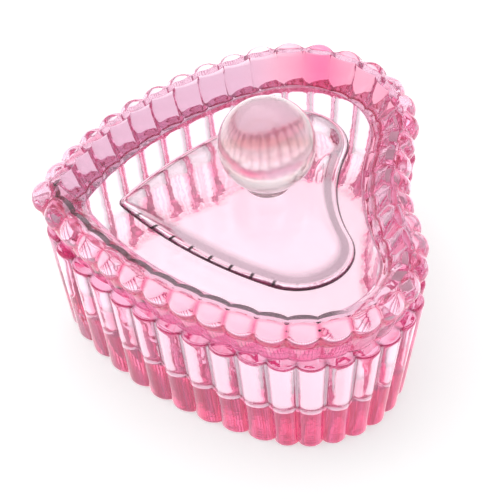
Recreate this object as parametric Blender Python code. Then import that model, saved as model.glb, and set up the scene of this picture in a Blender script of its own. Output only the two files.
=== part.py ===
"""Heart-shaped glass trinket box: a fluted bowl, a beaded lid that lifts off, and a ball knob.

The frame has its origin on the table under the middle of the box, +Z up, the heart's tip
towards -Y and its two lobes towards +Y. Three hearts shape the box: one along the centre of
the lid's bead border, one for the bowl under it, and one round the raised panel of the lid.
"""

import math

import bmesh
import bpy
from mathutils import Vector

MM = 0.001

# The heart along the centre of the lid's bead border
HEART_WIDTH = 97.7 * MM
HEART_LENGTH = 84.3 * MM
LOBE_RADIUS = 25.9 * MM
SIDE_RADIUS = 92.0 * MM
CLEFT_RADIUS = 60.0 * MM
LID_TIP_RADIUS = 2.0 * MM
SMALLEST_CORNER = 2.0 * MM
LEAST_CLEFT_RADIUS = 1.0 * MM

# The bowl, whose heart lies a little nearer the lobes than the lid's
BOWL_AHEAD = 0.5 * MM
BOWL_TIP_RADIUS = 13.0 * MM
BOWL_HEIGHT = 29.3 * MM
RIM_OVERHANG = 2.6 * MM
BASE_INSET = 2.4 * MM
RIB_COUNT = 40
RIB_DEPTH = 1.7 * MM
TIP_RIB_WIDTH = 12.0 * MM
WALL_THICKNESS = 4.3 * MM
FLOOR_THICKNESS = 8.5 * MM
FLOOR_FILLET = 5.0 * MM
BOWL_EDGE_ROUND = 1.0 * MM
MOUTH_BEVEL = 0.5 * MM

# The lid, with heights above the face that it rests on and reaches from the bead border's centre
BEAD_COUNT = 40
BEAD_RADIUS = 3.35 * MM
BEAD_REACH = 0.4 * MM
BEAD_HEIGHT = 9.05 * MM
BEAD_WAIST = 2.0 * MM
TIP_BEAD_WIDTH = 8.0 * MM
LAND_HEIGHT = 12.2 * MM
LAND_INSET = 0.3 * MM
LAND_SWING = 0.2 * MM
RIDGE_HEIGHT = 12.5 * MM
RIDGE_INSET = 2.5 * MM
RIDGE_SWING = 1.0 * MM
SKIRT_REACH = 2.7 * MM
SKIRT_TAPER = 2.6 * MM
SKIRT_HEIGHT = 7.1 * MM
SKIRT_FLUTE = 0.8 * MM
SKIRT_EDGE_ROUND = 0.6 * MM
BORDER_WIDTH = 7.7 * MM
PLATE_HEIGHT = 6.6 * MM
PLATE_THICKNESS = 2.6 * MM
SEAT_INSET = 2.2 * MM
UNDER_RUN_PER_RISE = 1.0
SEAT_GAP = 0.3 * MM

# The raised panel, set in from the centre of the bead border
PANEL_SIDE_MARGIN = 16.9 * MM
PANEL_TIP_MARGIN = 16.9 * MM
PANEL_LOBE_MARGIN = 13.4 * MM
PANEL_LOBE_RADIUS = 13.2 * MM
PANEL_SIDE_RADIUS = 104.0 * MM
PANEL_CLEFT_RADIUS = 41.0 * MM
PANEL_TIP_RADIUS = 2.0 * MM
PANEL_RISE = 1.26 * MM
PANEL_BEVEL = 2.8 * MM
DOME_RISE = 2.94 * MM
DOME_RADIUS = 26.0 * MM
DOME_INSET = 5.4 * MM

# The knob and the clear bond that holds it
KNOB_RADIUS = 11.5 * MM
KNOB_LIFT = 0.2 * MM
KNOB_FOOT_RADIUS = 5.6 * MM
KNOB_FOOT_BEVEL = 0.3 * MM
KNOB_BEHIND_LOBES = 7.0 * MM
BOND_THICKNESS = 0.4 * MM
BOND_INSET = 0.6 * MM
KNOB_SEAT_MARGIN = 1.0 * MM
BOND_GAP = 0.3 * MM

# Roundness of ribs and scallops, where 1 makes each one a half circle, and how fast the bevel's flutes fade
LOBE_FULLNESS = 0.86
FLUTE_FADE = 2

# The bead section's lowest angle, where its waist starts to rise to the land, and its highest angle
BEAD_UNDER = math.radians(-30)
BEAD_FLANK = math.radians(45)
BEAD_TOP = math.radians(96)

# Mesh fineness
POINTS_PER_LOBE = 4
FILLET_STEPS = 3
KNOB_SEGMENTS = 32
KNOB_STEPS = 14
PANEL_EDGE_STEPS = 3
CROWN_STEPS = 4
BEVEL_STEPS = 2
BEAD_STEPS = 4
SHARP_ANGLE = math.radians(30)

# The least reach of a cleft's arc past the middle line, as a share of the lobes' distance from it
CLEFT_REACH = 1.1

# Glass colours
PINK_GLASS = (0.93, 0.42, 0.60, 1.0)
CLEAR_GLASS = (0.95, 0.86, 0.84, 1.0)
CLEAR_BOND = (0.96, 0.94, 0.92, 1.0)


def clear_scene():
    for item in list(bpy.data.objects):
        bpy.data.objects.remove(item, do_unlink=True)


# Heart outlines

def heading(start, end):
    return math.atan2(end.y - start.y, end.x - start.x)


class Heart:
    """Heart of four arcs a side that meet smoothly: the tip, the side, the lobe and the cleft."""

    def __init__(self, width, tip_y, lobe_top_y, lobe_radius, side_radius, tip_radius, cleft_radius):
        self.lobe_radius = lobe_radius
        self.side_radius = side_radius
        self.tip_radius = tip_radius
        self.lobe = Vector((width / 2 - lobe_radius, lobe_top_y - lobe_radius))
        self.cleft_radius = max(cleft_radius, CLEFT_REACH * self.lobe.x - lobe_radius)
        self.side = self.side_centre(Vector((0.0, tip_y + tip_radius)))

    def side_centre(self, tip):
        """Centre, across the middle line, of the arc that touches the lobe's arc and the tip's."""
        from_lobe = self.side_radius - self.lobe_radius
        from_tip = self.side_radius - self.tip_radius
        span = tip - self.lobe
        reach = span.length
        along = (from_lobe ** 2 - from_tip ** 2 + reach ** 2) / (2 * reach)
        across = math.sqrt(from_lobe ** 2 - along ** 2)
        direction = span / reach
        return self.lobe + along * direction + across * Vector((direction.y, -direction.x))

    def half(self, offset):
        """Arcs of a parallel's right half from tip to cleft: (centre, radius, first angle, last angle)."""
        offset = max(offset, SMALLEST_CORNER - self.lobe_radius)
        lobe_radius = self.lobe_radius + offset
        side_radius = self.side_radius + offset
        tip_radius = max(self.tip_radius + offset, SMALLEST_CORNER)
        cleft_radius = max(self.cleft_radius - offset, LEAST_CLEFT_RADIUS)
        tip_drop = math.sqrt((side_radius - tip_radius) ** 2 - self.side.x ** 2)
        tip = Vector((0.0, self.side.y - tip_drop))
        cleft_climb = math.sqrt((lobe_radius + cleft_radius) ** 2 - self.lobe.x ** 2)
        cleft = Vector((0.0, self.lobe.y + cleft_climb))
        tip_end = heading(self.side, tip)
        side_end = heading(self.side, self.lobe)
        lobe_end = heading(self.lobe, cleft)
        down = -math.pi / 2
        return [
            (tip, tip_radius, down, tip_end),
            (self.side, side_radius, tip_end, side_end),
            (self.lobe, lobe_radius, side_end, lobe_end),
            (cleft, cleft_radius, lobe_end - math.pi, down),
        ]

    def length(self, offset):
        return 2 * sum(arc_lengths(self.half(offset)))

    def places(self, offset, shares):
        """Places at shares of the whole way round, as (arc number, share of that arc, mirror sign)."""
        lengths = arc_lengths(self.half(offset))
        half_way = sum(lengths)
        found = []
        for share in shares:
            travel = 2 * half_way * share
            sign = 1 if travel <= half_way else -1
            remaining = min(travel, 2 * half_way - travel)
            arc = 0
            while arc < len(lengths) - 1 and remaining > lengths[arc]:
                remaining -= lengths[arc]
                arc += 1
            found.append((arc, min(remaining / lengths[arc], 1.0), sign))
        return found

    def ring(self, places, offset, height, ripples=None):
        """One closed ring of points on a parallel of the heart, pushed out by its ripples."""
        arcs = self.half(offset)
        points = []
        for number, (arc, share, sign) in enumerate(places):
            centre, radius, first, last = arcs[arc]
            angle = first + (last - first) * share
            outward = Vector((math.cos(angle), math.sin(angle)))
            point = centre + radius * outward
            if ripples:
                in_cleft = arc == len(arcs) - 1
                point = point + (-ripples[number] if in_cleft else ripples[number]) * outward
            points.append(Vector((sign * point.x, point.y, height)))
        return points


def arc_lengths(arcs):
    return [abs(last - first) * radius for centre, radius, first, last in arcs]


LID_HEART = Heart(
    HEART_WIDTH,
    -HEART_LENGTH / 2,
    HEART_LENGTH / 2,
    LOBE_RADIUS,
    SIDE_RADIUS,
    LID_TIP_RADIUS,
    CLEFT_RADIUS,
)


def bowl_heart():
    """The lid's heart with a rounder tip, moved towards the lobes."""
    heart = Heart(
        HEART_WIDTH,
        -HEART_LENGTH / 2,
        HEART_LENGTH / 2,
        LOBE_RADIUS,
        SIDE_RADIUS,
        LID_TIP_RADIUS,
        CLEFT_RADIUS,
    )
    heart.tip_radius = BOWL_TIP_RADIUS
    ahead = Vector((0.0, BOWL_AHEAD))
    heart.lobe = heart.lobe + ahead
    heart.side = heart.side + ahead
    return heart


BOWL_HEART = bowl_heart()

PANEL_HEART = Heart(
    HEART_WIDTH - 2 * PANEL_SIDE_MARGIN,
    PANEL_TIP_MARGIN - HEART_LENGTH / 2,
    HEART_LENGTH / 2 - PANEL_LOBE_MARGIN,
    PANEL_LOBE_RADIUS,
    PANEL_SIDE_RADIUS,
    PANEL_TIP_RADIUS,
    PANEL_CLEFT_RADIUS,
)


# Beads and ribs round an outline

def lobe_height(phase):
    """Height of a round lobe across its width, 0 at either crease and 1 at its crest."""
    low = math.sqrt(1 - LOBE_FULLNESS ** 2)
    across = (2 * phase - 1) * LOBE_FULLNESS
    return (math.sqrt(1 - across ** 2) - low) / (1 - low)


def lobes_round(length, count, tip_width):
    """Shares of the way round, and phases across a lobe there, for equal lobes beside one at the tip."""
    tip_share = tip_width / length
    lobe_share = (1 - tip_share) / (count - 1)
    shares = []
    phases = []
    for number in range(count * POINTS_PER_LOBE):
        from_tip_crease = number - POINTS_PER_LOBE / 2
        lobe, step = divmod(from_tip_crease, POINTS_PER_LOBE)
        phase = step / POINTS_PER_LOBE
        if lobe < 0:
            share = tip_share * (phase - 0.5)
        elif lobe >= count - 1:
            share = 1 + tip_share * (phase - 0.5)
        else:
            share = tip_share / 2 + lobe_share * (lobe + phase)
        shares.append(share)
        phases.append(phase)
    return shares, phases


# Solids from rings

def loft(name, rings, material, parent, location):
    """Closed solid through the rings, from the middle of its underside round to the middle of its top."""
    builder = bmesh.new()
    rows = [[builder.verts.new(point) for point in ring] for ring in rings]
    count = len(rows[0])
    for lower, upper in zip(rows, rows[1:]):
        for number in range(count):
            following = (number + 1) % count
            builder.faces.new((lower[number], lower[following], upper[following], upper[number]))
    cap(builder, rows[0], facing_up=False)
    cap(builder, rows[-1], facing_up=True)
    mesh = bpy.data.meshes.new(name)
    builder.to_mesh(mesh)
    builder.free()
    mesh.shade_smooth()
    mesh.set_sharp_from_angle(angle=SHARP_ANGLE)
    mesh.materials.append(material)
    item = bpy.data.objects.new(name, mesh)
    bpy.context.collection.objects.link(item)
    item.parent = parent
    item.location = location
    return item


def cap(builder, row, facing_up):
    """Fan that closes a ring from its middle."""
    middle = sum((vertex.co for vertex in row), Vector()) / len(row)
    hub = builder.verts.new(middle)
    for number, vertex in enumerate(row):
        following = row[(number + 1) % len(row)]
        corners = (vertex, following, hub) if facing_up else (following, vertex, hub)
        builder.faces.new(corners)


def circle_ring(radius, height):
    ring = []
    for number in range(KNOB_SEGMENTS):
        angle = 2 * math.pi * number / KNOB_SEGMENTS
        ring.append(Vector((radius * math.cos(angle), radius * math.sin(angle), height)))
    return ring


def glass(name, colour, roughness):
    material = bpy.data.materials.new(name)
    material.use_nodes = True
    shader = material.node_tree.nodes["Principled BSDF"]
    shader.inputs["Base Color"].default_value = colour
    shader.inputs["Roughness"].default_value = roughness
    shader.inputs["Metallic"].default_value = 0.0
    shader.inputs["Transmission Weight"].default_value = 1.0
    shader.inputs["IOR"].default_value = 1.5
    return material


# The bowl

def wall_draft():
    """How far the wall leans out for each metre that it climbs."""
    return (RIM_OVERHANG + BASE_INSET) / BOWL_HEIGHT


def mouth_offset(height):
    """Offset of the bowl's smooth inner wall at a height above the table."""
    outer_crest = RIM_OVERHANG - wall_draft() * (BOWL_HEIGHT - height)
    return outer_crest - RIB_DEPTH - WALL_THICKNESS


def heart_bowl(material):
    rim_length = BOWL_HEART.length(RIM_OVERHANG)
    shares, phases = lobes_round(rim_length, RIB_COUNT, TIP_RIB_WIDTH)
    places = BOWL_HEART.places(RIM_OVERHANG, shares)
    ribs = [RIB_DEPTH * (lobe_height(phase) - 1) for phase in phases]

    def outer(offset, height):
        return BOWL_HEART.ring(places, offset, height, ribs)

    def inner(offset, height):
        return BOWL_HEART.ring(places, offset, height)

    draft = wall_draft()
    rings = [
        outer(-BASE_INSET - BOWL_EDGE_ROUND, 0.0),
        outer(-BASE_INSET + draft * BOWL_EDGE_ROUND, BOWL_EDGE_ROUND),
        outer(RIM_OVERHANG - draft * BOWL_EDGE_ROUND, BOWL_HEIGHT - BOWL_EDGE_ROUND),
        outer(RIM_OVERHANG - BOWL_EDGE_ROUND, BOWL_HEIGHT),
        inner(mouth_offset(BOWL_HEIGHT) + MOUTH_BEVEL, BOWL_HEIGHT),
        inner(mouth_offset(BOWL_HEIGHT - MOUTH_BEVEL), BOWL_HEIGHT - MOUTH_BEVEL),
    ]
    fillet_top = FLOOR_THICKNESS + FLOOR_FILLET
    for step in range(FILLET_STEPS + 1):
        angle = math.pi / 2 * step / FILLET_STEPS
        inset = FLOOR_FILLET * (1 - math.cos(angle))
        height = fillet_top - FLOOR_FILLET * math.sin(angle)
        rings.append(inner(mouth_offset(fillet_top) - inset, height))
    return loft("heart_bowl", rings, material, None, (0.0, 0.0, 0.0))


# The lid

def smooth(share):
    """Share from 0 to 1 that leaves level and arrives level."""
    held = max(0.0, min(share, 1.0))
    return held * held * (3 - 2 * held)


def between(start, end, share):
    return start[0] + share * (end[0] - start[0]), start[1] + share * (end[1] - start[1])


def bead_ring(places, phases, angle):
    """Ring round the beads' balls at one angle of their section, with a waist between one and the next."""
    flank = smooth((angle - BEAD_FLANK) / (BEAD_TOP - BEAD_FLANK))
    waist = BEAD_WAIST + (LAND_HEIGHT - BEAD_HEIGHT - BEAD_WAIST) * flank
    balls = [BEAD_RADIUS * math.sqrt(1 - (2 * phase - 1) ** 2) for phase in phases]
    reaches = [max(ball, waist) for ball in balls]
    ring = LID_HEART.ring(places, 0.0, 0.0, [BEAD_REACH + reach * math.cos(angle) for reach in reaches])
    for point, reach in zip(ring, reaches):
        point.z = BEAD_HEIGHT + reach * math.sin(angle)
    return ring


def scalloped_ring(places, phases, crease, crest, depth=1.0):
    """Ring that swings from one point of the border's section at its creases to another at its crests."""
    swings = [0.5 + (lobe_height(phase) - 0.5) * depth for phase in phases]
    ring = LID_HEART.ring(places, crease[0], 0.0, [(crest[0] - crease[0]) * swing for swing in swings])
    for point, swing in zip(ring, swings):
        point.z = crease[1] + (crest[1] - crease[1]) * swing
    return ring


def border_rings(places, phases):
    """Rings over the outside of the border: the skirt, the beads, the land behind them and the inner bevel."""
    skirt_foot = SKIRT_REACH - SKIRT_TAPER
    skirt = [
        (skirt_foot - SKIRT_EDGE_ROUND, 0.0),
        (skirt_foot, SKIRT_EDGE_ROUND),
        (SKIRT_REACH, SKIRT_HEIGHT),
    ]
    rings = []
    for reach, height in skirt:
        rings.append(scalloped_ring(places, phases, (reach - SKIRT_FLUTE, height), (reach, height)))
    for step in range(BEAD_STEPS + 1):
        angle = BEAD_UNDER + (BEAD_TOP - BEAD_UNDER) * step / BEAD_STEPS
        rings.append(bead_ring(places, phases, angle))
    land = (-LAND_INSET, LAND_HEIGHT)
    rings.append(scalloped_ring(places, phases, (LAND_SWING - LAND_INSET, LAND_HEIGHT), land))
    ridge_crease = (RIDGE_SWING - RIDGE_INSET, RIDGE_HEIGHT)
    ridge_crest = (-RIDGE_INSET, RIDGE_HEIGHT)
    foot = (-BORDER_WIDTH, PLATE_HEIGHT)
    for step in range(BEVEL_STEPS + 1):
        share = step / BEVEL_STEPS
        crease = between(ridge_crease, foot, share)
        crest = between(ridge_crest, foot, share)
        rings.append(scalloped_ring(places, phases, crease, crest, (1 - share) ** FLUTE_FADE))
    return rings


def knob_middle():
    return Vector((0.0, LID_HEART.lobe.y - KNOB_BEHIND_LOBES, 0.0))


def knob_seat_radius():
    return KNOB_FOOT_RADIUS + KNOB_SEAT_MARGIN


def dome(point, inset):
    """Height of the low dome under the knob, which fades out towards the panel's edge."""
    reach = (Vector((point.x, point.y, 0.0)) - knob_middle()).length
    climb = smooth((DOME_RADIUS - reach) / (DOME_RADIUS - knob_seat_radius()))
    return DOME_RISE * climb * smooth(inset / DOME_INSET)


def domed(ring, inset):
    for point in ring:
        point.z += dome(point, inset)
    return ring


def crown_rings(edge, height):
    """Rings from the panel's bevel in to the flat round seat under the knob."""
    middle = knob_middle()
    rings = []
    for step in range(1, CROWN_STEPS + 1):
        share = step / CROWN_STEPS
        ring = []
        for point in edge:
            flat = Vector((point.x, point.y, 0.0))
            seat = middle + knob_seat_radius() * (flat - middle).normalized()
            blended = flat.lerp(seat, share)
            blended.z = height + dome(blended, PANEL_BEVEL + (blended - flat).length)
            ring.append(blended)
        rings.append(ring)
    return rings


def panel_height():
    return PLATE_HEIGHT + PANEL_RISE


def knob_seat_height():
    return panel_height() + DOME_RISE


def heart_lid(material, parent):
    border_length = LID_HEART.length(0.0)
    shares, phases = lobes_round(border_length, BEAD_COUNT, TIP_BEAD_WIDTH)
    places = LID_HEART.places(0.0, shares)
    rim_places = BOWL_HEART.places(0.0, shares)
    panel_places = PANEL_HEART.places(0.0, shares)
    plate_under = PLATE_HEIGHT - PLATE_THICKNESS

    def over_rim(offset, height):
        return BOWL_HEART.ring(rim_places, offset, height)

    def panel(offset, height):
        return PANEL_HEART.ring(panel_places, offset, height)

    under_edge = domed(panel(-PANEL_BEVEL, plate_under), PANEL_BEVEL)
    rings = crown_rings(under_edge, plate_under)[::-1]
    rings += [
        under_edge,
        panel(0.0, plate_under),
        over_rim(-SEAT_INSET - UNDER_RUN_PER_RISE * plate_under, plate_under),
        over_rim(-SEAT_INSET, 0.0),
    ]
    rings += border_rings(places, phases)
    for step in range(PANEL_EDGE_STEPS + 1):
        angle = math.pi / 2 * step / PANEL_EDGE_STEPS
        inset = PANEL_BEVEL * (1 - math.cos(angle))
        rings.append(domed(panel(-inset, PLATE_HEIGHT + PANEL_RISE * math.sin(angle)), inset))
    rings += crown_rings(rings[-1], panel_height())
    return loft("heart_lid", rings, material, parent, (0.0, 0.0, 0.0))


# The knob and its bond

def knob_bond(material, parent):
    """Thin clear film under the knob's foot."""
    radius = KNOB_FOOT_RADIUS - BOND_INSET
    rings = [circle_ring(radius, 0.0), circle_ring(radius, BOND_THICKNESS)]
    lift = Vector((0.0, 0.0, knob_seat_height() + BOND_GAP))
    return loft("knob_bond", rings, material, parent, knob_middle() + lift)


def ball_knob(material, parent):
    """Ball on a short round foot, cut flat underneath."""
    ball_height = KNOB_RADIUS + KNOB_LIFT
    first = -math.acos(KNOB_FOOT_RADIUS / KNOB_RADIUS)
    rings = [
        circle_ring(KNOB_FOOT_RADIUS - KNOB_FOOT_BEVEL, 0.0),
        circle_ring(KNOB_FOOT_RADIUS, KNOB_FOOT_BEVEL),
    ]
    for step in range(KNOB_STEPS):
        angle = first + (math.pi / 2 - first) * step / KNOB_STEPS
        height = ball_height + KNOB_RADIUS * math.sin(angle)
        rings.append(circle_ring(KNOB_RADIUS * math.cos(angle), height))
    lift = Vector((0.0, 0.0, knob_seat_height() + BOND_GAP + BOND_THICKNESS + BOND_GAP))
    return loft("ball_knob", rings, material, parent, knob_middle() + lift)


def main():
    clear_scene()
    pink = glass("bowl_glass", PINK_GLASS, 0.03)
    lid_pink = glass("lid_glass", PINK_GLASS, 0.03)
    clear = glass("knob_glass", CLEAR_GLASS, 0.02)
    film = glass("bond_film", CLEAR_BOND, 0.10)
    heart_bowl(pink)
    lid_lift = bpy.data.objects.new("lid_lift", None)
    bpy.context.collection.objects.link(lid_lift)
    lid_lift.location = (0.0, 0.0, BOWL_HEIGHT + SEAT_GAP)
    heart_lid(lid_pink, lid_lift)
    knob_bond(film, lid_lift)
    ball_knob(clear, lid_lift)


main()
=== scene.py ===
"""Heart-shaped pressed-glass trinket box: its glass, the floor, the light and the camera.

The shapes repeat the part's own dimensions in metres and draw them finer: each bead, rib and edge
is round here. The heart's tip is towards -Y, its lobes towards +Y, and the table is at height 0.
"""

import math

import bmesh
import bpy
from mathutils import Matrix, Vector


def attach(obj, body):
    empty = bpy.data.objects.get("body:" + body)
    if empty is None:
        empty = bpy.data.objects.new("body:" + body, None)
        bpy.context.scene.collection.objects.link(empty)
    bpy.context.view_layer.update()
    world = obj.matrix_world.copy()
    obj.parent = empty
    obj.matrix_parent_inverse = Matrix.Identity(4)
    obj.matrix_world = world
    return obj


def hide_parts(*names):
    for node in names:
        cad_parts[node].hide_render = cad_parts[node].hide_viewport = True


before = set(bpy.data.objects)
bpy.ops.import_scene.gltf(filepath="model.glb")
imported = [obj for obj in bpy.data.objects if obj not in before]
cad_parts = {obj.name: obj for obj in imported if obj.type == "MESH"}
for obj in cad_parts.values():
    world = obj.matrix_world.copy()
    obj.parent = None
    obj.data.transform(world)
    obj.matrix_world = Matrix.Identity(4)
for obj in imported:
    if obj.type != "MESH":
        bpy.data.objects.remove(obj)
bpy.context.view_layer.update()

MM = 0.001

# The heart along the centre of the lid's bead border
HEART_WIDTH = 97.7 * MM
HEART_LENGTH = 84.3 * MM
LOBE_RADIUS = 25.9 * MM
SIDE_RADIUS = 92.0 * MM
CLEFT_RADIUS = 60.0 * MM
LID_TIP_RADIUS = 2.0 * MM
SMALLEST_CORNER = 2.0 * MM
LEAST_CLEFT_RADIUS = 1.0 * MM

# The bowl
BOWL_AHEAD = 0.5 * MM
BOWL_TIP_RADIUS = 13.0 * MM
BOWL_HEIGHT = 29.3 * MM
RIM_OVERHANG = 2.6 * MM
BASE_INSET = 2.4 * MM
RIB_COUNT = 40
RIB_DEPTH = 1.7 * MM
TIP_RIB_WIDTH = 12.0 * MM
WALL_THICKNESS = 4.3 * MM
FLOOR_THICKNESS = 8.5 * MM
FLOOR_FILLET = 5.0 * MM
BOWL_EDGE_ROUND = 1.0 * MM
MOUTH_ROUND = 0.5 * MM

# The lid, with heights above the face that it rests on
BEAD_COUNT = 40
BEAD_RADIUS = 3.35 * MM
BEAD_REACH = 0.4 * MM
BEAD_HEIGHT = 9.05 * MM
BEAD_WAIST = 2.0 * MM
TIP_BEAD_WIDTH = 8.0 * MM
LAND_HEIGHT = 12.2 * MM
LAND_INSET = 0.3 * MM
LAND_SWING = 0.2 * MM
RIDGE_HEIGHT = 12.5 * MM
RIDGE_INSET = 2.5 * MM
RIDGE_SWING = 1.0 * MM
SKIRT_REACH = 2.7 * MM
SKIRT_TAPER = 2.6 * MM
SKIRT_HEIGHT = 7.1 * MM
SKIRT_FLUTE = 0.8 * MM
SKIRT_EDGE_ROUND = 0.6 * MM
BORDER_WIDTH = 7.7 * MM
PLATE_HEIGHT = 6.6 * MM
PLATE_THICKNESS = 2.6 * MM
SEAT_INSET = 2.2 * MM
UNDER_RUN_PER_RISE = 1.0
SEAT_GAP = 0.3 * MM
PANEL_SIDE_MARGIN = 16.9 * MM
PANEL_TIP_MARGIN = 16.9 * MM
PANEL_LOBE_MARGIN = 13.4 * MM
PANEL_LOBE_RADIUS = 13.2 * MM
PANEL_SIDE_RADIUS = 104.0 * MM
PANEL_CLEFT_RADIUS = 41.0 * MM
PANEL_TIP_RADIUS = 2.0 * MM
PANEL_RISE = 1.26 * MM
PANEL_BEVEL = 2.8 * MM
DOME_RISE = 2.94 * MM
DOME_RADIUS = 26.0 * MM
DOME_INSET = 5.4 * MM

# The knob and its bond
KNOB_RADIUS = 11.5 * MM
KNOB_LIFT = 0.2 * MM
KNOB_FLATNESS = 0.991
KNOB_FOOT_RADIUS = 5.6 * MM
KNOB_FOOT_ROUND = 0.3 * MM
KNOB_BEHIND_LOBES = 7.0 * MM
BOND_THICKNESS = 0.4 * MM
BOND_INSET = 0.6 * MM
BOND_ROUND = 0.15 * MM
KNOB_SEAT_MARGIN = 1.0 * MM
BOND_GAP = 0.3 * MM

# Roundness of beads and ribs, and mesh fineness
LOBE_FULLNESS = 0.86
WAIST_POWER = 3
CLEFT_REACH = 1.1
POINTS_PER_LOBE = 16
KNOB_SEGMENTS = 96
KNOB_STEPS = 48
ARC_STEPS = 5
FILLET_STEPS = 12
CROWN_STEPS = 16
BEAD_STEPS = 28
BEVEL_STEPS = 16
FLUTE_FADE = 2
PANEL_EDGE_STEPS = 9
BEAD_UNDER = math.radians(-30)
BEAD_FLANK = math.radians(45)
BEAD_TOP = math.radians(96)

# Short runs between rings, and numbers of rings along straight runs
CRISP = 0.1 * MM
CAP_MARGIN = 0.2 * MM
EDGE_MARGIN = 0.4 * MM
FLOOR_MARGIN = 0.5 * MM
UNDER_MARGINS = (12.0 * MM, 4.0 * MM)
FLOOR_MIDDLE_INSET = 5.0 * MM
OUTER_WALL_STEPS = 28
INNER_WALL_STEPS = 8
SLOPE_STEPS = 8
SKIRT_STEPS = 7

# Tints painted into the glass: deep pink where long light paths gather colour, partly the glass's own
# colour, and painted shade in mauve, grey and near-black lines
CLEAR = (1.0, 1.0, 1.0)
DEEP_PINK = (0.78, 0.04, 0.19)
LOBE_PINK = (0.60, 0.27, 0.38)
# Painted shade: grey mauve and smoke grey for the dim room seen through the glass, near-black for painted
# dark shade lines
MAUVE = (0.50, 0.28, 0.40)
PAINTED_SHADE_GREY = (0.14, 0.10, 0.125)
PAINTED_DARK_LINE = (0.004, 0.002, 0.003)
WARM = (0.55, 0.22, 0.15)

# Where the painted shade and pink change from the left side to the right and from the tip to the lobes
NEAR_START = -8.0 * MM
NEAR_FADE = 16.0 * MM
LOBE_START = 2.0 * MM
LOBE_FADE = 22.0 * MM
LOBE_TOP_START = 24.0 * MM
LOBE_TOP_FADE = 12.0 * MM
CLEFT_START = 9.0 * MM
CLEFT_FADE = 10.0 * MM
LOBE_TOP_PALER = 0.35
NEAR_LOBE_PALER = 0.6
LOBE_SKIRT_PALER = 0.7

# How strongly shade and deep pink are painted into the bowl's wall
RIB_CLEAR = 0.62
RIB_CREASE_TINT = 0.9
WINDOW_TINT = 0.2
WINDOW_FOOT = 2.0 * MM
WINDOW_FOOT_TINT = 0.6
FOOT_BAND = 13.8 * MM
FOOT_BAND_FADE = 1.0 * MM
FOOT_TINT = 0.72
STREAK_LEAST = 0.2
STREAK_TURN = 2.399

# How strongly shade, dark lines and deep pink are painted into the lid's border
BEAD_CLEAR = 0.6
BEAD_CLEAR_ANGLE = math.radians(5)
BEAD_CAP_ANGLE = math.radians(45)
BEAD_CAP_FADE = math.radians(25)
BEAD_CROWN_ANGLE = math.radians(72)
BEAD_CROWN_FADE = math.radians(20)
BEAD_CROWN_TINT = 0.6
BEAD_BODY_TINT = 0.22
BEAD_TINT = 0.95
SKIRT_TINT = 0.95
BEVEL_TINT = 0.8
BEVEL_FOOT_TINTS = ((0.0, 1.0), (0.1 * MM, 1.0), (0.3 * MM, 0.0))
LAND_TINT = 0.55
LAND_SHARES = (0.0, 0.06, 0.2, 0.35, 0.45, 0.6, 0.8, 0.94, 1.0)
RIDGE_LINE_START = 0.35
RIDGE_LINE_FADE = 0.1
RIDGE_LINE_TINT = 0.95
RIDGE_LINE_END = 22.0 * MM
RIDGE_LINE_END_FADE = 8.0 * MM

# How strongly painted shade and dark lines are laid round the panel's edge
PANEL_CLEAR_MARGIN = 0.4 * MM
PANEL_LINE_TINT = 1.0
PANEL_LINE_WIDTH = 0.5 * MM
PANEL_BAND_START = 0.9 * MM
PANEL_BAND_FADE = 0.3 * MM
PANEL_BAND_TINT = 0.3
NEAR_BAND_TINT = 0.75
CLEFT_BAND_TINT = 0.8
DASH_POINTS = 20
DASH_GAP_POINTS = 3
FAR_LINE_INSET = 1.84 * MM
FAR_LINE_FADE = 0.5 * MM
FAR_LINE_TINT = 0.9

# How strongly the knob is tinted, and its top painted with shade
VEIN_NORMAL = Vector((-0.669, 0.0, 0.743))
VEIN_HALF_WIDTH = 0.5 * MM
VEIN_FADE = 1.2 * MM
VEIN_TINT = 0.5
KNOB_TOP_SHADE = 0.4

# Light lost in the glass per metre, as red, green and blue
PINK_LOSS = (1.4, 18.0, 9.4)
KNOB_LOSS = (1.0, 6.0, 5.0)
FILM_LOSS = (0.5, 0.5, 0.5)
GLASS_IOR = 1.52
FILM_IOR = 1.5

# Roughness of the glass, and waves and streaks on it, with noise scales per metre
CLEAR_ROUGHNESS = (0.0, 0.05)
HAZY_ROUGHNESS = (0.10, 0.24)
GLOSS_SCALE = 250.0
WAVE_SCALE = 160.0
STREAK_SCALE = 900.0
EVEN = (1.0, 1.0, 1.0)
DRAWN_OUT = (1.0, 1.0, 0.05)
WALL_WAVES = 0.05 * MM
KNOB_WAVES = 0.5 * MM
FILM_WAVES = 0.02 * MM
DEEP_STREAKS = 0.02 * MM
FAINT_STREAKS = 0.01 * MM

# The floor, the studio's light and the lamp
FLOOR_RADIUS = 6.0
FLOOR_SEGMENTS = 96
FLOOR_DROP = 0.2 * MM
FLOOR_COLOUR = (0.86, 0.86, 0.86, 1.0)
FLOOR_ROUGHNESS = 0.9
SEEN_THROUGH_GLASS = 0.9
SEEN_DIRECTLY = 0.5
FAR_SIDE = ((0.0, 1.0), (0.12, 0.9), (0.45, 0.6), (1.0, 0.5))
NEAR_SIDE = ((0.0, 0.8), (0.12, 0.7), (0.45, 0.5), (1.0, 0.5))
SIDE_BLEND = 0.5
KEY_PLACE = (-0.3, -0.4, 1.3)
KEY_TARGET = (0.0, 0.0, 0.02)
KEY_SIZE = 2.0
KEY_POWER = 8.0
LIGHT_BOUNCES = 32
GLOSSY_BOUNCES = 16

# The camera, as fitted to the photograph's view
CAMERA_AZIMUTH = math.radians(89.53)
CAMERA_ELEVATION = math.radians(42.03)
CAMERA_ROLL = math.radians(1.25)
CAMERA_DISTANCE = 963.5 * MM
CAMERA_SIDE_SHIFT = 4.84 * MM
CAMERA_UP_SHIFT = 15.09 * MM
FOCAL_PIXELS = 4017.7
IMAGE_PIXELS = 500
SENSOR_WIDTH = 36.0
NEAREST_SEEN = 0.05
FARTHEST_SEEN = 50.0


# Heart outlines

def heading(start, end):
    return math.atan2(end.y - start.y, end.x - start.x)


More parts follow.
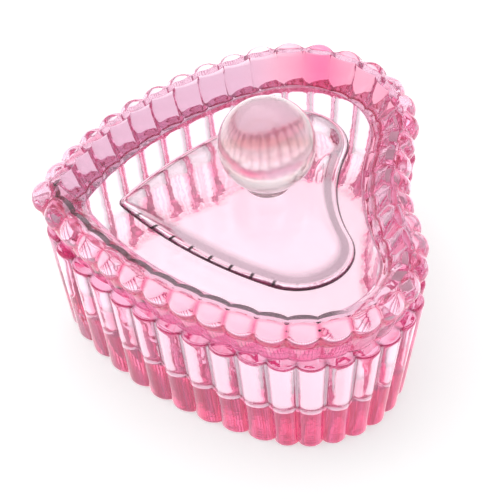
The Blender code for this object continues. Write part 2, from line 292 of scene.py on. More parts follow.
class Heart:
    """Heart of four arcs a side that meet smoothly: the tip, the side, the lobe and the cleft."""

    def __init__(self, width, tip_y, lobe_top_y, lobe_radius, side_radius, tip_radius, cleft_radius):
        self.lobe_radius = lobe_radius
        self.side_radius = side_radius
        self.tip_radius = tip_radius
        self.lobe = Vector((width / 2 - lobe_radius, lobe_top_y - lobe_radius))
        self.cleft_radius = max(cleft_radius, CLEFT_REACH * self.lobe.x - lobe_radius)
        self.side = self.side_centre(Vector((0.0, tip_y + tip_radius)))

    def side_centre(self, tip):
        """Centre, across the middle line, of the arc that touches the lobe's arc and the tip's."""
        from_lobe = self.side_radius - self.lobe_radius
        from_tip = self.side_radius - self.tip_radius
        span = tip - self.lobe
        reach = span.length
        along = (from_lobe ** 2 - from_tip ** 2 + reach ** 2) / (2 * reach)
        across = math.sqrt(from_lobe ** 2 - along ** 2)
        direction = span / reach
        return self.lobe + along * direction + across * Vector((direction.y, -direction.x))

    def half(self, offset):
        """Arcs of a parallel's right half from tip to cleft: (centre, radius, first angle, last angle)."""
        offset = max(offset, SMALLEST_CORNER - self.lobe_radius)
        lobe_radius = self.lobe_radius + offset
        side_radius = self.side_radius + offset
        tip_radius = max(self.tip_radius + offset, SMALLEST_CORNER)
        cleft_radius = max(self.cleft_radius - offset, LEAST_CLEFT_RADIUS)
        tip_drop = math.sqrt((side_radius - tip_radius) ** 2 - self.side.x ** 2)
        tip = Vector((0.0, self.side.y - tip_drop))
        cleft_climb = math.sqrt((lobe_radius + cleft_radius) ** 2 - self.lobe.x ** 2)
        cleft = Vector((0.0, self.lobe.y + cleft_climb))
        tip_end = heading(self.side, tip)
        side_end = heading(self.side, self.lobe)
        lobe_end = heading(self.lobe, cleft)
        down = -math.pi / 2
        return [
            (tip, tip_radius, down, tip_end),
            (self.side, side_radius, tip_end, side_end),
            (self.lobe, lobe_radius, side_end, lobe_end),
            (cleft, cleft_radius, lobe_end - math.pi, down),
        ]

    def length(self, offset):
        return 2 * sum(arc_lengths(self.half(offset)))

    def places(self, offset, shares):
        """Places at shares of the whole way round, as (arc number, share of that arc, mirror sign)."""
        lengths = arc_lengths(self.half(offset))
        half_way = sum(lengths)
        found = []
        for share in shares:
            travel = 2 * half_way * share
            sign = 1 if travel <= half_way else -1
            remaining = min(travel, 2 * half_way - travel)
            arc = 0
            while arc < len(lengths) - 1 and remaining > lengths[arc]:
                remaining -= lengths[arc]
                arc += 1
            found.append((arc, min(remaining / lengths[arc], 1.0), sign))
        return found

    def ring(self, places, offset, height, ripples=None):
        """One closed ring of points on a parallel of the heart, pushed out by its ripples."""
        arcs = self.half(offset)
        points = []
        for number, (arc, share, sign) in enumerate(places):
            centre, radius, first, last = arcs[arc]
            angle = first + (last - first) * share
            outward = Vector((math.cos(angle), math.sin(angle)))
            point = centre + radius * outward
            if ripples:
                in_cleft = arc == len(arcs) - 1
                point = point + (-ripples[number] if in_cleft else ripples[number]) * outward
            points.append(Vector((sign * point.x, point.y, height)))
        return points


def arc_lengths(arcs):
    return [abs(last - first) * radius for centre, radius, first, last in arcs]


def border_heart():
    return Heart(
        HEART_WIDTH,
        -HEART_LENGTH / 2,
        HEART_LENGTH / 2,
        LOBE_RADIUS,
        SIDE_RADIUS,
        LID_TIP_RADIUS,
        CLEFT_RADIUS,
    )


def bowl_heart():
    """The lid's heart with a rounder tip, moved towards the lobes."""
    heart = border_heart()
    heart.tip_radius = BOWL_TIP_RADIUS
    ahead = Vector((0.0, BOWL_AHEAD))
    heart.lobe = heart.lobe + ahead
    heart.side = heart.side + ahead
    return heart


LID_HEART = border_heart()
BOWL_HEART = bowl_heart()

PANEL_HEART = Heart(
    HEART_WIDTH - 2 * PANEL_SIDE_MARGIN,
    PANEL_TIP_MARGIN - HEART_LENGTH / 2,
    HEART_LENGTH / 2 - PANEL_LOBE_MARGIN,
    PANEL_LOBE_RADIUS,
    PANEL_SIDE_RADIUS,
    PANEL_TIP_RADIUS,
    PANEL_CLEFT_RADIUS,
)


# Beads and ribs round an outline

def lobe_height(phase):
    """Height of a round lobe across its width, 0 at either crease and 1 at its crest."""
    low = math.sqrt(1 - LOBE_FULLNESS ** 2)
    across = (2 * phase - 1) * LOBE_FULLNESS
    return (math.sqrt(1 - across ** 2) - low) / (1 - low)


def lobes_round(length, count, tip_width):
    """Shares of the way round, and phases across a lobe there, for equal lobes beside one at the tip."""
    tip_share = tip_width / length
    lobe_share = (1 - tip_share) / (count - 1)
    shares = []
    phases = []
    for number in range(count * POINTS_PER_LOBE):
        from_tip_crease = number - POINTS_PER_LOBE / 2
        lobe, step = divmod(from_tip_crease, POINTS_PER_LOBE)
        phase = step / POINTS_PER_LOBE
        if lobe < 0:
            share = tip_share * (phase - 0.5)
        elif lobe >= count - 1:
            share = 1 + tip_share * (phase - 0.5)
        else:
            share = tip_share / 2 + lobe_share * (lobe + phase)
        shares.append(share)
        phases.append(phase)
    return shares, phases


def smooth(share):
    """Share from 0 to 1 that leaves level and arrives level."""
    held = max(0.0, min(share, 1.0))
    return held * held * (3 - 2 * held)


# Profiles as lists of (offset, height)

def round_edge(start, corner, end, steps=ARC_STEPS):
    """Points of a curve from start to end that is drawn towards the corner between them."""
    points = []
    for step in range(steps + 1):
        share = step / steps
        near = (1 - share) ** 2
        middle = 2 * share * (1 - share)
        far = share ** 2
        points.append((
            near * start[0] + middle * corner[0] + far * end[0],
            near * start[1] + middle * corner[1] + far * end[1],
        ))
    return points


def between(start, end, share):
    return start[0] + share * (end[0] - start[0]), start[1] + share * (end[1] - start[1])


def straight(start, end, steps):
    """Points inside a straight run, without its ends."""
    return [between(start, end, step / steps) for step in range(1, steps)]


# Solids from rings

class Skin:
    """Rings of a solid in order, each point with the colour painted into the glass there, painted shade and
    deep pink included.
    """

    def __init__(self):
        self.rings = []
        self.tints = []

    def add(self, ring, tints=None):
        self.rings.append(ring)
        self.tints.append(tints or [CLEAR] * len(ring))

    def add_plain(self, rings):
        for ring in rings:
            self.add(ring)


def tinted(colour, amount):
    """Clear glass turned towards a colour by an amount from 0 to 1."""
    return tuple(1 + (channel - 1) * amount for channel in colour)


def mixed(first, second, share):
    return tuple(one + (other - one) * share for one, other in zip(first, second))


def loft(name, skin, material, location):
    """Closed solid through the rings, from the middle of its underside round to the middle of its top."""
    builder = bmesh.new()
    tint_layer = builder.verts.layers.float_color.new("tint")
    rows = []
    for ring, tints in zip(skin.rings, skin.tints):
        row = []
        for point, tint in zip(ring, tints):
            vertex = builder.verts.new(point + location)
            vertex[tint_layer] = (*tint, 1.0)
            row.append(vertex)
        rows.append(row)
    count = len(rows[0])
    for lower, upper in zip(rows, rows[1:]):
        for number in range(count):
            following = (number + 1) % count
            builder.faces.new((lower[number], lower[following], upper[following], upper[number]))
    for row, facing_up in ((rows[0], False), (rows[-1], True)):
        hub = cap(builder, row, facing_up)
        hub[tint_layer] = row[0][tint_layer]
    mesh = bpy.data.meshes.new(name)
    builder.to_mesh(mesh)
    builder.free()
    mesh.shade_smooth()
    mesh.materials.append(material)
    item = bpy.data.objects.new(name, mesh)
    bpy.context.collection.objects.link(item)
    return item


def cap(builder, row, facing_up):
    """Fan that closes a ring from its middle."""
    middle = sum((vertex.co for vertex in row), Vector()) / len(row)
    hub = builder.verts.new(middle)
    for number, vertex in enumerate(row):
        following = row[(number + 1) % len(row)]
        corners = (vertex, following, hub) if facing_up else (following, vertex, hub)
        builder.faces.new(corners)
    return hub


def circle_ring(radius, height):
    ring = []
    for number in range(KNOB_SEGMENTS):
        angle = 2 * math.pi * number / KNOB_SEGMENTS
        ring.append(Vector((radius * math.cos(angle), radius * math.sin(angle), height)))
    return ring


# The bowl

def wall_draft():
    """How far the wall leans out for each metre that it climbs."""
    return (RIM_OVERHANG + BASE_INSET) / BOWL_HEIGHT


def mouth_offset(height):
    """Offset of the bowl's smooth inner wall at a height above the table."""
    outer_crest = RIM_OVERHANG - wall_draft() * (BOWL_HEIGHT - height)
    return outer_crest - RIB_DEPTH - WALL_THICKNESS


def rib_tints(phases, height):
    """Painted shade and deep pink on the wall: faint mauve over the ribs, grey in the creases between ribs
    and at the windows' feet, and deeper pink in the creases and the thick foot of the wall, partly its own
    colour and partly painted for long light paths.
    """
    foot = smooth((FOOT_BAND - height) / FOOT_BAND_FADE)
    window_foot = smooth((FOOT_BAND + WINDOW_FOOT - height) / WINDOW_FOOT) * (1 - foot)
    crease_shade = mixed(PAINTED_SHADE_GREY, DEEP_PINK, foot)
    tints = []
    for number, phase in enumerate(phases):
        streak = STREAK_LEAST + (1 - STREAK_LEAST) * (0.5 + 0.5 * math.sin(STREAK_TURN * number ** 2))
        body = mixed(tinted(MAUVE, WINDOW_TINT), DEEP_PINK, FOOT_TINT * foot * streak)
        # painted grey shade at the bottom of each window
        body = mixed(body, PAINTED_SHADE_GREY, WINDOW_FOOT_TINT * window_foot)
        crease = smooth((abs(2 * phase - 1) - RIB_CLEAR) / (1 - RIB_CLEAR))
        tints.append(mixed(body, crease_shade, RIB_CREASE_TINT * crease))
    return tints


def glass_bowl(material):
    rim_length = BOWL_HEART.length(RIM_OVERHANG)
    shares, phases = lobes_round(rim_length, RIB_COUNT, TIP_RIB_WIDTH)
    places = BOWL_HEART.places(RIM_OVERHANG, shares)
    ribs = [RIB_DEPTH * (lobe_height(phase) - 1) for phase in phases]
    draft = wall_draft()

    foot = (-BASE_INSET - BOWL_EDGE_ROUND, 0.0)
    wall_foot = (-BASE_INSET + draft * BOWL_EDGE_ROUND, BOWL_EDGE_ROUND)
    wall_top = (RIM_OVERHANG - draft * BOWL_EDGE_ROUND, BOWL_HEIGHT - BOWL_EDGE_ROUND)
    rim = (RIM_OVERHANG - BOWL_EDGE_ROUND, BOWL_HEIGHT)
    under = [(foot[0] - margin, 0.0) for margin in UNDER_MARGINS]
    outer = [(foot[0] - EDGE_MARGIN, 0.0)]
    outer += round_edge(foot, (-BASE_INSET, 0.0), wall_foot)
    outer += straight(wall_foot, wall_top, OUTER_WALL_STEPS)
    outer += round_edge(wall_top, (RIM_OVERHANG, BOWL_HEIGHT), rim)

    mouth = mouth_offset(BOWL_HEIGHT)
    fillet_top = FLOOR_THICKNESS + FLOOR_FILLET
    wall_end = (mouth_offset(fillet_top), fillet_top)
    floor_edge = mouth_offset(fillet_top) - FLOOR_FILLET
    mouth_foot = (mouth_offset(BOWL_HEIGHT - MOUTH_ROUND), BOWL_HEIGHT - MOUTH_ROUND)
    inner = [(mouth + MOUTH_ROUND + EDGE_MARGIN, BOWL_HEIGHT)]
    inner += round_edge((mouth + MOUTH_ROUND, BOWL_HEIGHT), (mouth, BOWL_HEIGHT), mouth_foot)
    inner += straight(mouth_foot, wall_end, INNER_WALL_STEPS)
    for step in range(FILLET_STEPS + 1):
        angle = math.pi / 2 * step / FILLET_STEPS
        inset = FLOOR_FILLET * (1 - math.cos(angle))
        inner.append((wall_end[0] - inset, fillet_top - FLOOR_FILLET * math.sin(angle)))
    inner.append((floor_edge - FLOOR_MARGIN, FLOOR_THICKNESS))
    inner.append((floor_edge - FLOOR_MIDDLE_INSET, FLOOR_THICKNESS))

    skin = Skin()
    skin.add_plain(BOWL_HEART.ring(places, offset, height) for offset, height in under)
    for offset, height in outer:
        skin.add(BOWL_HEART.ring(places, offset, height, ribs), rib_tints(phases, height))
    skin.add_plain(BOWL_HEART.ring(places, offset, height) for offset, height in inner)
    return loft("glass_bowl", skin, material, Vector())


# The lid

def bead_ring(places, phases, angle):
    """Ring round the beads' balls at one angle of their section, with a waist between one and the next."""
    flank = smooth((angle - BEAD_FLANK) / (BEAD_TOP - BEAD_FLANK))
    waist = BEAD_WAIST + (LAND_HEIGHT - BEAD_HEIGHT - BEAD_WAIST) * flank
    crest = rounded_greater(BEAD_RADIUS, waist)
    reaches = []
    for phase in phases:
        ball = BEAD_RADIUS * math.sqrt(1 - (2 * phase - 1) ** 2)
        reaches.append(rounded_greater(ball, waist) * BEAD_RADIUS / crest)
    ring = LID_HEART.ring(places, 0.0, 0.0, [BEAD_REACH + reach * math.cos(angle) for reach in reaches])
    for point, reach in zip(ring, reaches):
        point.z = BEAD_HEIGHT + reach * math.sin(angle)
    return ring


def rounded_greater(first, second):
    """The greater of two lengths, with a round change from one to the other."""
    return (first ** WAIST_POWER + second ** WAIST_POWER) ** (1 / WAIST_POWER)


def nearness(point):
    """From 0 on the heart's left side to 1 on its right, which faces the camera: how strongly the one-sided
    painted shade and painted deep pink are laid on.
    """
    return smooth((point.x - NEAR_START) / NEAR_FADE)


def lobeness(point):
    """From 0 beside the tip to 1 round the lobes."""
    return smooth((point.y - LOBE_START) / LOBE_FADE)


def pinkness(point):
    """How much painted deep pink the border gets, standing for long light paths: most along the right side,
    less over the lobes' tops.
    """
    top = smooth((point.y - LOBE_TOP_START) / LOBE_TOP_FADE)
    return max(nearness(point), lobeness(point)) * (1 - LOBE_TOP_PALER * top)


def skirt_tint(point):
    # Painted mauve shade, paler round the lobes, under painted deep pink towards the right side
    plain = tinted(MAUVE, BEVEL_TINT * (1 - LOBE_SKIRT_PALER * lobeness(point)))
    return mixed(plain, DEEP_PINK, SKIRT_TINT * pinkness(point))


def land_tint(point, share):
    """Painted mauve shade along the land, with a painted dark shade line against the ridge on the right."""
    line = smooth((share - RIDGE_LINE_START) / RIDGE_LINE_FADE) * nearness(point)
    line *= 1 - smooth((point.y - RIDGE_LINE_END) / RIDGE_LINE_END_FADE)
    return mixed(tinted(MAUVE, LAND_TINT), PAINTED_DARK_LINE, RIDGE_LINE_TINT * line)


def bead_tints(ring, phases, angle):
    """Clear over the middle of each ball and its cap, with painted deep pink shade round its flanks and
    below it; on the right, painted mauve shade in the body and deep pink over the crown too.
    """
    below = smooth((BEAD_CLEAR_ANGLE - angle) / (BEAD_CLEAR_ANGLE - BEAD_UNDER))
    cap = smooth((angle - BEAD_CAP_ANGLE) / BEAD_CAP_FADE)
    crown = BEAD_CROWN_TINT * smooth((angle - BEAD_CROWN_ANGLE) / BEAD_CROWN_FADE)
    tints = []
    for point, phase in zip(ring, phases):
        edge = smooth((abs(2 * phase - 1) - BEAD_CLEAR) / (1 - BEAD_CLEAR))
        near = nearness(point)
        flank = 1 - cap * (1 - near)
        amount = BEAD_TINT * max(edge * flank, below, crown * near)
        body = tinted(MAUVE, BEAD_BODY_TINT * near)
        tints.append(mixed(body, DEEP_PINK, amount * pinkness(point)))
    return tints


def scalloped_ring(places, phases, crease, crest, depth=1.0):
    """Ring that swings from one point of the border's section at its creases to another at its crests."""
    swings = [0.5 + (lobe_height(phase) - 0.5) * depth for phase in phases]
    ring = LID_HEART.ring(places, crease[0], 0.0, [(crest[0] - crease[0]) * swing for swing in swings])
    for point, swing in zip(ring, swings):
        point.z = crease[1] + (crest[1] - crease[1]) * swing
    return ring


def bevel_tint(point):
    """Painted shade on the bevel: grey mauve beside the tip, pink round the lobes and paler round the right
    lobe.
    """
    lobe = lobeness(point)
    amount = BEVEL_TINT * (1 - NEAR_LOBE_PALER * nearness(point) * lobe)
    return tinted(mixed(MAUVE, LOBE_PINK, lobe), amount)


def panel_tint(point, inset, number):
    """A painted dark shade line round the panel, cut on the right into clear dashes by short dark gaps, a
    painted dark line further in on the left, and a band of painted grey shade inside it.
    """
    near = nearness(point)
    cleft = smooth((point.y - CLEFT_START) / CLEFT_FADE)
    foot = PANEL_LINE_TINT * (1 - smooth(inset / PANEL_LINE_WIDTH))
    far_line = 1 - smooth(abs(inset - FAR_LINE_INSET) / FAR_LINE_FADE)
    line = max(foot, FAR_LINE_TINT * far_line * (1 - near) * (1 - cleft))
    if number % DASH_POINTS < DASH_GAP_POINTS and inset < PANEL_BAND_START + PANEL_BAND_FADE:
        line = max(line, near * (1 - cleft))
    band = max(PANEL_BAND_TINT, CLEFT_BAND_TINT * cleft, NEAR_BAND_TINT * near)
    band *= smooth((inset - PANEL_BAND_START) / PANEL_BAND_FADE)
    return mixed(tinted(PAINTED_SHADE_GREY, band), PAINTED_DARK_LINE, line)


def knob_middle():
    return Vector((0.0, LID_HEART.lobe.y - KNOB_BEHIND_LOBES, 0.0))


def knob_seat_radius():
    return KNOB_FOOT_RADIUS + KNOB_SEAT_MARGIN


def dome(point, inset):
    """Height of the low dome under the knob, which fades out towards the panel's edge."""
    reach = (Vector((point.x, point.y, 0.0)) - knob_middle()).length
    climb = smooth((DOME_RADIUS - reach) / (DOME_RADIUS - knob_seat_radius()))
    return DOME_RISE * climb * smooth(inset / DOME_INSET)


def domed(ring, inset):
    for point in ring:
        point.z += dome(point, inset)
    return ring


def crown_rings(edge, inset, height):
    """Rings from inside the panel's edge in to the flat round seat under the knob."""
    middle = knob_middle()
    rings = []
    for step in range(1, CROWN_STEPS + 1):
        share = 1 - (1 - step / CROWN_STEPS) ** 2
        ring = []
        for point in edge:
            flat = Vector((point.x, point.y, 0.0))
            seat = middle + knob_seat_radius() * (flat - middle).normalized()
            blended = flat.lerp(seat, share)
            blended.z = height + dome(blended, inset + (blended - flat).length)
            ring.append(blended)
        rings.append(ring)
    return rings


def panel_height():
    return PLATE_HEIGHT + PANEL_RISE


def knob_seat_height():
    return panel_height() + DOME_RISE


def lid_seat():
    return Vector((0.0, 0.0, BOWL_HEIGHT + SEAT_GAP))


def glass_lid(material):
    border_length = LID_HEART.length(0.0)
    shares, phases = lobes_round(border_length, BEAD_COUNT, TIP_BEAD_WIDTH)
    places = LID_HEART.places(0.0, shares)
    rim_places = BOWL_HEART.places(0.0, shares)
    panel_places = PANEL_HEART.places(0.0, shares)
    plate_under = PLATE_HEIGHT - PLATE_THICKNESS

    def panel(offset, height):
        return PANEL_HEART.ring(panel_places, offset, height)

    def over_rim(offset, height):
        return BOWL_HEART.ring(rim_places, offset, height)

    skin = Skin()
    under_edge = domed(panel(-PANEL_BEVEL, plate_under), PANEL_BEVEL)
    skin.add_plain(crown_rings(under_edge, PANEL_BEVEL, plate_under)[::-1])
    skin.add(under_edge)
    skin.add(domed(panel(-PANEL_BEVEL / 2, plate_under), PANEL_BEVEL / 2))
    skin.add(panel(0.0, plate_under))
    slope_foot = (-SEAT_INSET, 0.0)
    slope_top = (-SEAT_INSET - UNDER_RUN_PER_RISE * plate_under, plate_under)
    under_run = [(slope_top[0] - CRISP, plate_under), slope_top]
    under_run += straight(slope_top, slope_foot, SLOPE_STEPS)
    under_run += [slope_foot, (CRISP - SEAT_INSET, 0.0)]
    skin.add_plain(over_rim(offset, height) for offset, height in under_run)

    skirt_foot = SKIRT_REACH - SKIRT_TAPER
    skirt_run = [(skirt_foot - SKIRT_EDGE_ROUND - CRISP, 0.0)]
    skirt_run += round_edge(
        (skirt_foot - SKIRT_EDGE_ROUND, 0.0),
        (skirt_foot, 0.0),
        (skirt_foot, SKIRT_EDGE_ROUND),
    )
    skirt_end = (SKIRT_REACH, SKIRT_HEIGHT)
    skirt_run += straight(skirt_run[-1], skirt_end, SKIRT_STEPS) + [skirt_end]
    for reach, height in skirt_run:
        ring = scalloped_ring(places, phases, (reach - SKIRT_FLUTE, height), (reach, height))
        skin.add(ring, [skirt_tint(point) for point in ring])
    for step in range(BEAD_STEPS + 1):
        angle = BEAD_UNDER + (BEAD_TOP - BEAD_UNDER) * step / BEAD_STEPS
        ring = bead_ring(places, phases, angle)
        skin.add(ring, bead_tints(ring, phases, angle))

    land_crest = (-LAND_INSET, LAND_HEIGHT)
    land_crease = (LAND_SWING - LAND_INSET, LAND_HEIGHT)
    ridge_crest = (-RIDGE_INSET, RIDGE_HEIGHT)
    ridge_crease = (RIDGE_SWING - RIDGE_INSET, RIDGE_HEIGHT)
    for share in LAND_SHARES:
        crease = between(land_crease, ridge_crease, share)
        crest = between(land_crest, ridge_crest, share)
        ring = scalloped_ring(places, phases, crease, crest)
        skin.add(ring, [land_tint(point, share) for point in ring])
    foot = (-BORDER_WIDTH, PLATE_HEIGHT)
    for step in range(1, BEVEL_STEPS):
        share = smooth(step / BEVEL_STEPS)
        crease = between(ridge_crease, foot, share)
        crest = between(ridge_crest, foot, share)
        ring = scalloped_ring(places, phases, crease, crest, (1 - share) ** FLUTE_FADE)
        skin.add(ring, [bevel_tint(point) for point in ring])
    # Painted mauve shade in the corner at the bevel's foot
    for inset, amount in BEVEL_FOOT_TINTS:
        ring = LID_HEART.ring(places, -BORDER_WIDTH - inset, PLATE_HEIGHT)
        skin.add(ring, [tinted(MAUVE, amount)] * len(ring))

    skin.add(panel(PANEL_CLEAR_MARGIN, PLATE_HEIGHT))
    # Painted dark shade line in the corner at the panel's foot
    skin.add(panel(CRISP, PLATE_HEIGHT), [tinted(PAINTED_DARK_LINE, PANEL_LINE_TINT)] * len(places))
    for step in range(PANEL_EDGE_STEPS + 1):
        angle = math.pi / 2 * step / PANEL_EDGE_STEPS
        inset = PANEL_BEVEL * (1 - math.cos(angle))
        ring = domed(panel(-inset, PLATE_HEIGHT + PANEL_RISE * math.sin(angle)), inset)
        skin.add(ring, [panel_tint(point, inset, number) for number, point in enumerate(ring)])
    skin.add_plain(crown_rings(ring, PANEL_BEVEL, panel_height()))
    return loft("glass_lid", skin, material, lid_seat())


# The knob and its bond

def bond_film(material):
    """Thin clear film under the knob's foot."""
    radius = KNOB_FOOT_RADIUS - BOND_INSET
    run = [(radius - BOND_ROUND - CAP_MARGIN, 0.0)]
    run += round_edge((radius - BOND_ROUND, 0.0), (radius, 0.0), (radius, BOND_ROUND))
    run += round_edge(
        (radius, BOND_THICKNESS - BOND_ROUND),
        (radius, BOND_THICKNESS),
        (radius - BOND_ROUND, BOND_THICKNESS),
    )
    run += [(radius - BOND_ROUND - CAP_MARGIN, BOND_THICKNESS)]
    skin = Skin()
    skin.add_plain(circle_ring(across, height) for across, height in run)
    lift = Vector((0.0, 0.0, knob_seat_height() + BOND_GAP))
    return loft("bond_film", skin, material, lid_seat() + knob_middle() + lift)


def knob_tint(from_middle):
    """A warm vein across the ball, with painted grey shade over the ball above it."""
    above_vein = from_middle.dot(VEIN_NORMAL)
    vein = 1 - smooth((abs(above_vein) - VEIN_HALF_WIDTH) / VEIN_FADE)
    top_shade = KNOB_TOP_SHADE * smooth(above_vein / VEIN_FADE)
    return mixed(tinted(MAUVE, top_shade), WARM, VEIN_TINT * vein)


def glass_knob(material):
    """Ball on a short round foot, cut flat underneath."""
    ball_height = KNOB_RADIUS + KNOB_LIFT
    first = -math.acos(KNOB_FOOT_RADIUS / KNOB_RADIUS)
    run = [(KNOB_FOOT_RADIUS - KNOB_FOOT_ROUND - EDGE_MARGIN, 0.0)]
    run += round_edge(
        (KNOB_FOOT_RADIUS - KNOB_FOOT_ROUND, 0.0),
        (KNOB_FOOT_RADIUS, 0.0),
        (KNOB_FOOT_RADIUS, KNOB_FOOT_ROUND),
    )
    for step in range(KNOB_STEPS):
        angle = first + (math.pi / 2 - first) * step / KNOB_STEPS
        run.append((KNOB_RADIUS * math.cos(angle), ball_height + KNOB_RADIUS * math.sin(angle)))
    skin = Skin()
    middle = Vector((0.0, 0.0, ball_height))
    for across, height in run:
        ring = circle_ring(across, KNOB_FLATNESS * height)
        skin.add(ring, [knob_tint(point - middle) for point in ring])
    lift = Vector((0.0, 0.0, knob_seat_height() + BOND_GAP + BOND_THICKNESS + BOND_GAP))
    return loft("glass_knob", skin, material, lid_seat() + knob_middle() + lift)


# Materials

def glass(name, loss, ior, roughness, waves, streaks):
    """Pressed glass: a shader coloured by the painted tints over a tinted body, with a surface that is a
    little wavy and uneven.
    """
    material = bpy.data.materials.new(name)
    material.use_nodes = True
    nodes = material.node_tree.nodes
    links = material.node_tree.links
    shader = nodes["Principled BSDF"]
    shader.inputs["Transmission Weight"].default_value = 1.0
    shader.inputs["IOR"].default_value = ior
    # The base colour takes the colours painted at each point: painted shade, painted dark lines and deep
    # pink
    painted_tint = nodes.new("ShaderNodeAttribute")
    painted_tint.attribute_name = "tint"
    links.new(painted_tint.outputs["Color"], shader.inputs["Base Color"])
    density = max(loss)
    body = nodes.new("ShaderNodeVolumeAbsorption")
    body.inputs["Color"].default_value = (*(1 - share / density for share in loss), 1.0)
    body.inputs["Density"].default_value = density
    links.new(body.outputs["Volume"], nodes["Material Output"].inputs["Volume"])

    place = nodes.new("ShaderNodeTexCoord")
    gloss = noise(nodes, links, place, GLOSS_SCALE, EVEN)
    spread = nodes.new("ShaderNodeMapRange")
    spread.inputs["To Min"].default_value = roughness[0]
    spread.inputs["To Max"].default_value = roughness[1]
    links.new(gloss.outputs["Fac"], spread.inputs["Value"])
    links.new(spread.outputs["Result"], shader.inputs["Roughness"])

    wavy = nodes.new("ShaderNodeBump")
    wavy.inputs["Distance"].default_value = waves
    swell = noise(nodes, links, place, WAVE_SCALE, EVEN)
    links.new(swell.outputs["Fac"], wavy.inputs["Height"])
    streaked = nodes.new("ShaderNodeBump")
    streaked.inputs["Distance"].default_value = streaks
    streak = noise(nodes, links, place, STREAK_SCALE, DRAWN_OUT)
    links.new(streak.outputs["Fac"], streaked.inputs["Height"])
    links.new(wavy.outputs["Normal"], streaked.inputs["Normal"])
    links.new(streaked.outputs["Normal"], shader.inputs["Normal"])
    return material


def add_coat(material):
    """Clear gloss over hazy glass."""
    shader = material.node_tree.nodes["Principled BSDF"]
    shader.inputs["Coat Weight"].default_value = 1.0
    shader.inputs["Coat Roughness"].default_value = 0.0


def noise(nodes, links, place, scale, stretch):
    """Noise over the glass, drawn out along an axis whose stretch is below 1."""
    mapping = nodes.new("ShaderNodeMapping")
    mapping.inputs["Scale"].default_value = stretch
    links.new(place.outputs["Object"], mapping.inputs["Vector"])
    texture = nodes.new("ShaderNodeTexNoise")
    texture.inputs["Scale"].default_value = scale
    links.new(mapping.outputs["Vector"], texture.inputs["Vector"])
    return texture


# The stage

def floor():
    builder = bmesh.new()
    bmesh.ops.create_circle(builder, cap_ends=True, segments=FLOOR_SEGMENTS, radius=FLOOR_RADIUS)
    mesh = bpy.data.meshes.new("floor")
    builder.to_mesh(mesh)
    builder.free()
    item = bpy.data.objects.new("floor", mesh)
    item.location.z = -FLOOR_DROP
    bpy.context.collection.objects.link(item)
    material = bpy.data.materials.new("floor")
    material.use_nodes = True
    nodes = material.node_tree.nodes
    links = material.node_tree.links
    shader = nodes["Principled BSDF"]
    shader.inputs["Base Color"].default_value = FLOOR_COLOUR
    shader.inputs["Roughness"].default_value = FLOOR_ROUGHNESS
    shader.inputs["Specular IOR Level"].default_value = 0.0
    shader.inputs["Emission Color"].default_value = (1.0, 1.0, 1.0, 1.0)
    path = nodes.new("ShaderNodeLightPath")
    seen = nodes.new("ShaderNodeMath")
    seen.operation = "MAXIMUM"
    links.new(path.outputs["Is Glossy Ray"], seen.inputs[0])
    links.new(path.outputs["Is Transmission Ray"], seen.inputs[1])
    through = nodes.new("ShaderNodeMath")
    through.operation = "MULTIPLY"
    links.new(seen.outputs[0], through.inputs[0])
    through.inputs[1].default_value = SEEN_THROUGH_GLASS
    direct = nodes.new("ShaderNodeMath")
    direct.operation = "MULTIPLY_ADD"
    links.new(path.outputs["Is Camera Ray"], direct.inputs[0])
    direct.inputs[1].default_value = SEEN_DIRECTLY
    links.new(through.outputs[0], direct.inputs[2])
    links.new(direct.outputs[0], shader.inputs["Emission Strength"])
    mesh.materials.append(material)


def brightness_ramp(nodes, stops):
    """Grey that changes with height, from stops of (height, brightness)."""
    ramp = nodes.new("ShaderNodeValToRGB")
    elements = ramp.color_ramp.elements
    while len(elements) < len(stops):
        elements.new(1.0)
    for element, (position, value) in zip(elements, stops):
        element.position = position
        element.color = (value, value, value, 1.0)
    return ramp


def studio_world():
    """Bright near the table on the far side, greyer overhead and behind the camera."""
    world = bpy.data.worlds.new("studio")
    bpy.context.scene.world = world
    world.use_nodes = True
    nodes = world.node_tree.nodes
    links = world.node_tree.links
    background = nodes["Background"]
    place = nodes.new("ShaderNodeTexCoord")
    split = nodes.new("ShaderNodeSeparateXYZ")
    links.new(place.outputs["Generated"], split.inputs[0])
    side = nodes.new("ShaderNodeMapRange")
    side.interpolation_type = "SMOOTHSTEP"
    side.inputs["From Min"].default_value = -SIDE_BLEND
    side.inputs["From Max"].default_value = SIDE_BLEND
    links.new(split.outputs["X"], side.inputs["Value"])
    mix = nodes.new("ShaderNodeMix")
    mix.data_type = "RGBA"
    links.new(side.outputs["Result"], mix.inputs["Factor"])
    for stops, socket in ((FAR_SIDE, "A"), (NEAR_SIDE, "B")):
        ramp = brightness_ramp(nodes, stops)
        links.new(split.outputs["Z"], ramp.inputs["Fac"])
        sockets = [item for item in mix.inputs if item.name == socket and item.type == "RGBA"]
        links.new(ramp.outputs["Color"], sockets[0])
    result = [item for item in mix.outputs if item.type == "RGBA"][0]
    links.new(result, background.inputs["Color"])
    background.inputs["Strength"].default_value = 1.0


def softbox():
    lamp = bpy.data.lights.new("key", "AREA")
    lamp.shape = "RECTANGLE"
    lamp.size = KEY_SIZE
    lamp.size_y = KEY_SIZE
    lamp.energy = KEY_POWER
    item = bpy.data.objects.new("key", lamp)
    bpy.context.collection.objects.link(item)
    item.location = KEY_PLACE
    item.rotation_mode = "QUATERNION"
    item.rotation_quaternion = (Vector(KEY_TARGET) - Vector(KEY_PLACE)).to_track_quat("-Z", "Y")


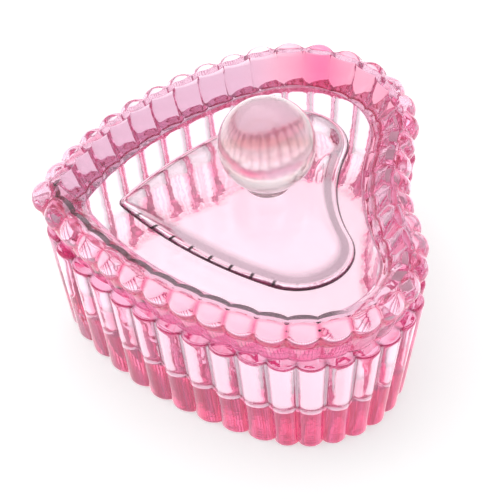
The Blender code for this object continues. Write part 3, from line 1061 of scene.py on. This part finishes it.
def camera():
    sine, cosine = math.sin(CAMERA_AZIMUTH), math.cos(CAMERA_AZIMUTH)
    right = Vector((cosine, sine, 0.0))
    back = Vector((
        math.cos(CAMERA_ELEVATION) * sine,
        -math.cos(CAMERA_ELEVATION) * cosine,
        math.sin(CAMERA_ELEVATION),
    ))
    up = back.cross(right)
    target = CAMERA_SIDE_SHIFT * right + CAMERA_UP_SHIFT * up
    turned_right = math.cos(CAMERA_ROLL) * right - math.sin(CAMERA_ROLL) * up
    turned_up = math.sin(CAMERA_ROLL) * right + math.cos(CAMERA_ROLL) * up
    data = bpy.data.cameras.new("camera")
    data.sensor_width = SENSOR_WIDTH
    data.lens = FOCAL_PIXELS / IMAGE_PIXELS * SENSOR_WIDTH
    data.clip_start = NEAREST_SEEN
    data.clip_end = FARTHEST_SEEN
    item = bpy.data.objects.new("camera", data)
    bpy.context.collection.objects.link(item)
    turn = Matrix((turned_right, turned_up, back)).transposed().to_4x4()
    item.matrix_world = Matrix.Translation(target + CAMERA_DISTANCE * back) @ turn
    bpy.context.scene.camera = item


def main():
    bowl_glass = glass("bowl_glass", PINK_LOSS, GLASS_IOR, CLEAR_ROUGHNESS, WALL_WAVES, DEEP_STREAKS)
    lid_glass = glass("lid_glass", PINK_LOSS, GLASS_IOR, CLEAR_ROUGHNESS, WALL_WAVES, FAINT_STREAKS)
    film = glass("bond_film", FILM_LOSS, FILM_IOR, CLEAR_ROUGHNESS, FILM_WAVES, FAINT_STREAKS)
    knob_glass = glass("knob_glass", KNOB_LOSS, GLASS_IOR, HAZY_ROUGHNESS, KNOB_WAVES, DEEP_STREAKS)
    add_coat(knob_glass)
    dressed = (
        (glass_bowl(bowl_glass), "bowl", "heart_bowl", "bowl_glass"),
        (glass_lid(lid_glass), "lid", "heart_lid", "lid_glass"),
        (bond_film(film), "lid", "knob_bond", "bond_film"),
        (glass_knob(knob_glass), "lid", "ball_knob", "knob_glass"),
    )
    for piece, body, node, slot in dressed:
        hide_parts(node)
        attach(piece, body)
    floor()
    studio_world()
    softbox()
    camera()
    scene = bpy.context.scene
    scene.view_settings.view_transform = "Standard"
    scene.cycles.max_bounces = LIGHT_BOUNCES
    scene.cycles.transmission_bounces = LIGHT_BOUNCES
    scene.cycles.glossy_bounces = GLOSSY_BOUNCES


main()
